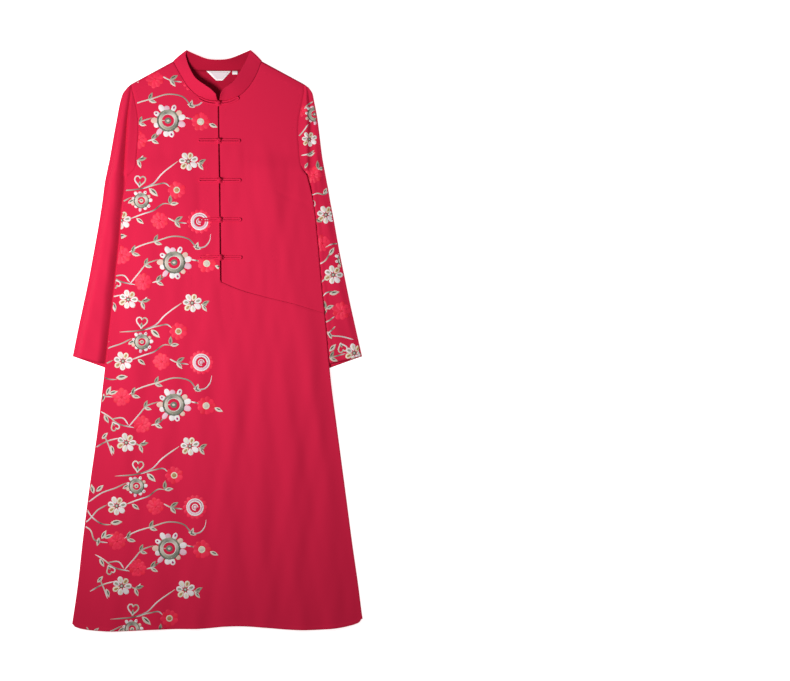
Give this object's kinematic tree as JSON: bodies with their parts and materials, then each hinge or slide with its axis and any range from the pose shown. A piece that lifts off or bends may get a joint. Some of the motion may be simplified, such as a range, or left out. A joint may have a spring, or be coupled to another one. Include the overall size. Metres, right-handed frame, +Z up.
{
  "type": "cheongsam dress",
  "caption": "Long cheongsam dress laid flat, with a stand collar, frog fastenings, long sleeves tucked behind its sides, a slanting bodice seam and side vents.",
  "frame": {"origin": "on the surface the dress lies on, under the centre of its bounding box", "axes": "+Z up off the surface, +Y towards the collar, +X to the wearer's left"},
  "size_m": [0.6313, 1.2634, 0.0242],
  "materials": {
    "crimson_cloth": "matte linen weave",
    "crimson_cord": "matte bias-cut cord",
    "label_white": "satin ribbon"
  },
  "bodies": {
    "root": {"front_main": "crimson_cloth", "upper_front": "crimson_cloth", "back": "crimson_cloth", "sleeve_plain": "crimson_cloth", "sleeve_embroidered": "crimson_cloth", "collar": "crimson_cloth", "frog_1_knot": "crimson_cord", "frog_1_loop": "crimson_cord", "frog_2_knot": "crimson_cord", "frog_2_loop": "crimson_cord", "frog_3_knot": "crimson_cord", "frog_3_loop": "crimson_cord", "frog_4_knot": "crimson_cord", "frog_4_loop": "crimson_cord", "frog_5_knot": "crimson_cord", "frog_5_loop": "crimson_cord", "neck_label": "label_white", "size_tag": "label_white"}
  },
  "joints": []
}
